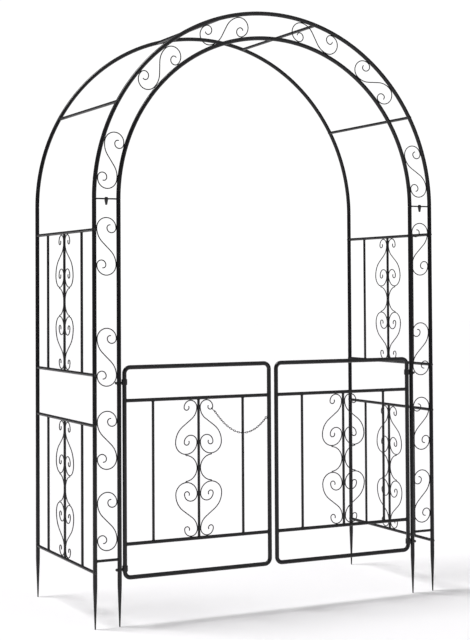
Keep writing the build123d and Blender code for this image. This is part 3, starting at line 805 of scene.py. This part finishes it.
for node, places in (("panel_screws", rail_places), ("cross_bar_screws", cross_places)):
    screws = []
    for number, (x, z) in enumerate(places):
        spun = Matrix.Rotation(radians(23 * number), 4, "Y")
        screws.append(placed_copy(screw, "screw", Matrix.Translation((x, front_y - tube_radius, z)) @ spun))
        screws.append(placed_copy(screw, "screw",
                                  Matrix.Translation((x, rear_y + tube_radius, z)) @ half_turn @ spun))
    finish_piece(joined(f"{node}_heads", screws), "frame", fixing_coat, node)
print("screw heads", round(head_depth * 1000, 2), "mm high, faces", len(screw.data.polygons))
discard(screw)

# %% [markdown]
# ## Hinges
# Each gate's stile turns inside two eyes. An eye is a short sleeve with a stem that goes through the
# inner post, and a domed nut holds it. A collar on the stile rests on each eye and carries the gate.

# %% Eyes, nuts and collars
eye_low, eye_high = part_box("hinge_eyes")
eye_height = 0.014
eye_radius = span("hinge_eyes").y / 2
eye_bore = tube_radius + 0.0001
boss_radius = 0.0045
stem_radius = 0.003
nut_flats = 0.010
nut_height = 0.005
dome_radius = 0.0045
collar_seat = 0.0003    # the play between an eye and the collar above it
collar_bore = tube_radius + 0.00005
hinge_heights = (eye_low.z + eye_height / 2, eye_high.z - eye_height / 2)
collar_low, collar_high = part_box("right_gate_collars")
collar_radius = (collar_high.y - collar_low.y) / 2
collar_height = collar_high.z - (hinge_heights[1] + eye_height / 2) - collar_seat


def sleeve(name, base, inner, outer, height, edge=0.0005):
    """A short sleeve with broken edges, inside and out."""
    profile = [(inner + edge, 0), (outer - edge, 0), (outer, edge), (outer, height - edge),
               (outer - edge, height), (inner + edge, height), (inner, height - edge), (inner, edge),
               (inner + edge, 0)]
    return turned(name, base, (0, 0, 1), profile, 40)


def hinge(sign, z):
    """The eye with its boss and stem, and its nut, on one post."""
    eye = sleeve("eye", (sign * hinge_x, front_y, z - eye_height / 2), eye_bore, eye_radius, eye_height)
    reach = inner_x - hinge_x
    boss = turned("boss", (sign * (hinge_x + eye_radius - 0.0008), front_y, z), (sign, 0, 0),
                  [(boss_radius + 0.0011, 0), (boss_radius + 0.0003, 0.0008), (boss_radius, 0.0016),
                   (boss_radius, reach - eye_radius - 0.004)], 24)
    stem = turned("stem", (sign * inner_x, front_y, z), (sign, 0, 0),
                  [(stem_radius, 0), (stem_radius, tube_radius + nut_height)], 16)
    seat = (sign * (inner_x + tube_radius + 0.00002), front_y, z)
    nut = hexagon_head("nut", seat, (sign, 0, 0), nut_flats, nut_height)
    top = (sign * (inner_x + tube_radius + nut_height - 0.0002), front_y, z)
    dome = turned("dome", top, (sign, 0, 0),
                  [(dome_radius, 0), (dome_radius, 0.0008), (dome_radius - 0.0003, 0.0018),
                   (dome_radius - 0.0011, 0.0026), (dome_radius - 0.0024, 0.0031),
                   (dome_radius - 0.0037, 0.0032)], 24)
    return [eye, boss, stem], [nut, dome]


eyes, nuts = [], []
for sign in (-1, 1):
    for z in hinge_heights:
        new_eye, new_nut = hinge(sign, z)
        eyes += new_eye
        nuts += new_nut
finish_piece(joined("hinge_eye_sleeves", eyes), "frame", tube_coat, "hinge_eyes")
finish_piece(joined("domed_nuts", nuts), "frame", fixing_coat, "hinge_nuts")
for side, sign in (("left", -1), ("right", 1)):
    collars = [sleeve("collar", (sign * hinge_x, front_y, z + eye_height / 2 + collar_seat),
                      collar_bore, collar_radius, collar_height, soft_edge) for z in hinge_heights]
    finish_piece(joined(f"{side}_collar_rings", collars), body_of_side[side], tube_coat,
                 f"{side}_gate_collars")
print("hinges at", [round(z, 3) for z in hinge_heights], "collar", round(collar_height * 1000, 2), "mm high")

# %% [markdown]
# ## Welds
# Every bar and rail is welded where it meets the next tube, and every scroll is tacked at the points
# where it touches. A bead follows the saddle where a thin tube stands on a thick one. It starts as a
# ring, each slice of it is lifted onto the saddle, and a little noise roughens it before the coat.

# %% Weld beads
ripple = bpy.data.textures.new("weld ripple", "CLOUDS")
ripple.noise_scale = 0.0016


def roughen(piece, strength):
    """Give a weld its uneven skin."""
    pick(piece)
    bpy.ops.object.modifier_add(type="DISPLACE")
    modifier = piece.modifiers[-1]
    modifier.texture = ripple
    modifier.texture_coords = "LOCAL"
    modifier.strength = strength
    modifier.mid_level = 0.5
    bpy.ops.object.modifier_apply(modifier=modifier.name)


def bead(name, bar, support, thickness=0.0011):
    """A weld where a bar stands on a tube along X, with the bar along +Z from the tube's axis."""
    slices, sides = 28, 8
    rest()
    bpy.ops.mesh.primitive_torus_add(major_segments=slices, minor_segments=sides,
                                     major_radius=bar + thickness * 0.3, minor_radius=thickness)
    piece = bpy.context.object
    for number in range(slices):
        swing = 2 * pi * number / slices
        across = (bar + thickness * 0.3) * sin(swing)
        lift = sqrt(support ** 2 - across ** 2) + thickness * 0.25
        for vertex in piece.data.vertices:
            vertex.select = number * sides <= vertex.index < (number + 1) * sides
        for edge in piece.data.edges:
            edge.select = False
        for face in piece.data.polygons:
            face.select = False
        bpy.ops.object.mode_set(mode="EDIT")
        bpy.ops.mesh.select_mode(type="VERT")
        bpy.ops.transform.translate(value=(0, 0, lift))
        bpy.ops.object.mode_set(mode="OBJECT")
    roughen(piece, thickness * 0.5)
    edit_all()
    return close_tube(name, 60)


def tack(name, radius=0.0019):
    """A small lump of weld."""
    rest()
    bpy.ops.mesh.primitive_ico_sphere_add(subdivisions=2, radius=radius)
    piece = bpy.context.object
    roughen(piece, radius * 0.35)
    edit_all()
    return close_tube(name, 80)


bar_on_gate_rail = bead("bar_on_gate_rail", bar_radius, gate_rail_radius)
bar_on_rail = bead("bar_on_rail", bar_radius, rail_radius)
rail_on_stile = bead("rail_on_stile", gate_rail_radius, tube_radius)
bar_on_post = bead("bar_on_post", bar_radius, tube_radius)
tack_pattern = tack("tack_weld")
print("bead faces", len(bar_on_rail.data.polygons), "tack faces", len(tack_pattern.data.polygons))

# %% Where the welds go


def upwards(x, y, z):
    """A weld on top of a rail along X."""
    return Matrix.Translation((x, y, z))


def downwards(x, y, z):
    """A weld below a rail along X."""
    return Matrix.Translation((x, y, z)) @ Matrix.Rotation(pi, 4, "X")


def sideways(x, y, z, sign):
    """A weld on an upright tube, with the rail going off along X."""
    onto_x = Matrix.Rotation(sign * pi / 2, 4, "Y")
    return Matrix.Translation((x, y, z)) @ onto_x


def scroll_tacks(edge_radius, height, half_waist):
    """Points where a scrollwork touches its bar, its rails and itself."""
    curl_height = -(edge_radius + wire_radius + weld_gap + curl_radius)
    lobe = Vector((bar_line + panel_lobe_radius, 0, half_waist + panel_lobe_radius - height / 2))
    tie_middle = tie_circle(height / 2, half_waist)[0]
    between = lobe + (tie_middle - lobe).normalized() * (panel_lobe_radius + wire_radius)
    points = [Vector((bar_line + curl_radius, 0, -edge_radius)), Vector((bar_radius, 0, curl_height)),
              Vector((bar_radius, 0, lobe.z)), between]
    points += [Vector((p.x, 0, -height - p.z)) for p in points]
    points.append(Vector((bar_radius, 0, -height / 2)))
    return [Vector((sign * p.x, 0, p.z)) for p in points for sign in (-1, 1)]


for side, sign in (("left", -1), ("right", 1)):
    welds = []
    low_rail, high_rail = gate_rail_heights
    for x in (-bar_offset, 0, bar_offset):
        bar_x = sign * gate_middle_x + x
        welds.append(placed_copy(bar_on_gate_rail, "bead", upwards(bar_x, front_y, low_rail)))
        welds.append(placed_copy(bar_on_gate_rail, "bead", downwards(bar_x, front_y, high_rail)))
    for z in gate_rail_heights:
        welds.append(placed_copy(rail_on_stile, "bead", sideways(sign * meeting_x, front_y, z, sign)))
        welds.append(placed_copy(rail_on_stile, "bead", sideways(sign * hinge_x, front_y, z, -sign)))
    for point in scroll_tacks(gate_rail_radius, gate_rise, gate_half_waist):
        place = Vector((sign * gate_middle_x, front_y, high_rail)) + point
        welds.append(placed_copy(tack_pattern, "tack", Matrix.Translation(place)))
    finish_piece(joined(f"{side}_gate_welds", welds), body_of_side[side], weld_coat)

frame_welds = []
for sign in (-1, 1):
    frame_welds.append(placed_copy(bar_on_post, "bead", sideways(sign * inner_x, front_y, foot_bar_z, sign)))
    frame_welds.append(placed_copy(bar_on_post, "bead", sideways(sign * outer_x, front_y, foot_bar_z, -sign)))
    for low, high in (rail_heights[:2], rail_heights[2:]):
        for y in (-bar_offset, 0, bar_offset):
            for place in (upwards(sign * outer_x, y, low), downwards(sign * outer_x, y, high)):
                frame_welds.append(placed_copy(bar_on_rail, "bead", place @ quarter_turn))
        for point in scroll_tacks(rail_radius, panel_rise, panel_half_waist):
            place = Vector((sign * outer_x, point.x, high + point.z))
            frame_welds.append(placed_copy(tack_pattern, "tack", Matrix.Translation(place)))
    side = "right" if sign > 0 else "left"
    for scroll_place in scroll_places[f"{side}_leg_scrolls"] + scroll_places[f"{side}_arch_scrolls"]:
        for hand in (-1, 1):
            spot = Vector((hand * (lobe_radius + wire_radius), 0, -hand * half_distance))
            frame_welds.append(placed_copy(tack_pattern, "tack",
                                           Matrix.Translation(scroll_place @ spot)))
finish_piece(joined("frame_welds", frame_welds), "frame", weld_coat)
discard(bar_on_gate_rail, bar_on_rail, rail_on_stile, bar_on_post, tack_pattern)

# %% [markdown]
# ## Floor, light and camera
# The arch stands on a pale studio floor under broad soft lights.

# %% Floor
rest()
floor_size = 80
floor_drop = 0.0005     # keeps the floor clear of the spikes' tips
bpy.ops.mesh.primitive_plane_add(size=floor_size, location=(0, 0, -floor_drop))
floor = bpy.context.object
floor.name = "studio_floor"
floor_paint = bpy.data.materials.new("studio floor paint")
floor_paint.use_nodes = True
floor_shader = floor_paint.node_tree.nodes["Principled BSDF"]
floor_shader.inputs["Base Color"].default_value = (0.9, 0.89, 0.9, 1)
floor_shader.inputs["Roughness"].default_value = 0.9
floor_shader.inputs["Specular IOR Level"].default_value = 0.1
floor.data.materials.append(floor_paint)

# %% Light
world = bpy.data.worlds.new("studio")
world.use_nodes = True
nodes, links = world.node_tree.nodes, world.node_tree.links
backdrop = nodes["Background"]
backdrop.inputs["Color"].default_value = (1, 1, 1, 1)
backdrop.inputs["Strength"].default_value = 1.05
room = nodes.new("ShaderNodeBackground")
room.inputs["Color"].default_value = (0.97, 0.97, 1.0, 1)
room.inputs["Strength"].default_value = 0.12
ray = nodes.new("ShaderNodeLightPath")
either = nodes.new("ShaderNodeMixShader")
links.new(ray.outputs["Is Camera Ray"], either.inputs["Fac"])
links.new(room.outputs[0], either.inputs[1])
links.new(backdrop.outputs[0], either.inputs[2])
links.new(either.outputs[0], nodes["World Output"].inputs["Surface"])
bpy.context.scene.world = world


def soft_sun(name, place, angle, strength):
    """A broad overhead light, like a large silk. It points from a place to the arch."""
    lamp = bpy.data.lights.new(name, "SUN")
    lamp.angle = radians(angle)
    lamp.energy = strength
    holder = bpy.data.objects.new(name, lamp)
    bpy.context.scene.collection.objects.link(holder)
    holder.location = place
    holder.rotation_euler = (-Vector(place)).to_track_quat("-Z", "Y").to_euler()
    return holder


soft_sun("key_silk", (-3.5, 1.5, 7.0), 24, 3.35)
soft_sun("fill_silk", (2.5, -5.0, 6.0), 45, 0.5)
bpy.context.scene.view_settings.view_transform = "Standard"

# %% Camera
camera_place = Vector((-2.6237, -5.1813, 1.2175))
camera_heading = 26.10
camera_tilt = 1.526
camera_roll = -0.297
forward = Vector((sin(radians(camera_heading)) * cos(radians(camera_tilt)),
                  cos(radians(camera_heading)) * cos(radians(camera_tilt)), sin(radians(camera_tilt))))
level = Vector((cos(radians(camera_heading)), -sin(radians(camera_heading)), 0))
upward = level.cross(forward)
right = level * cos(radians(camera_roll)) + upward * sin(radians(camera_roll))
up = upward * cos(radians(camera_roll)) - level * sin(radians(camera_roll))
lens = bpy.data.cameras.new("camera")
lens.lens = 81.05
lens.sensor_width = 36
lens.shift_x = 0.0300
lens.shift_y = -0.1073
camera = bpy.data.objects.new("camera", lens)
bpy.context.scene.collection.objects.link(camera)
camera.matrix_world = Matrix(((right.x, up.x, -forward.x, camera_place.x),
                              (right.y, up.y, -forward.y, camera_place.y),
                              (right.z, up.z, -forward.z, camera_place.z), (0, 0, 0, 1)))
bpy.context.scene.camera = camera

# %% Finish
for name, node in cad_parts.items():
    if not node.hide_render:
        node.data.materials.clear()
        node.data.materials.append(chain_coat if name.startswith("latch") else fixing_coat)
off_cad.sort(reverse=True)
print("furthest off the CAD boxes:", off_cad[:12])
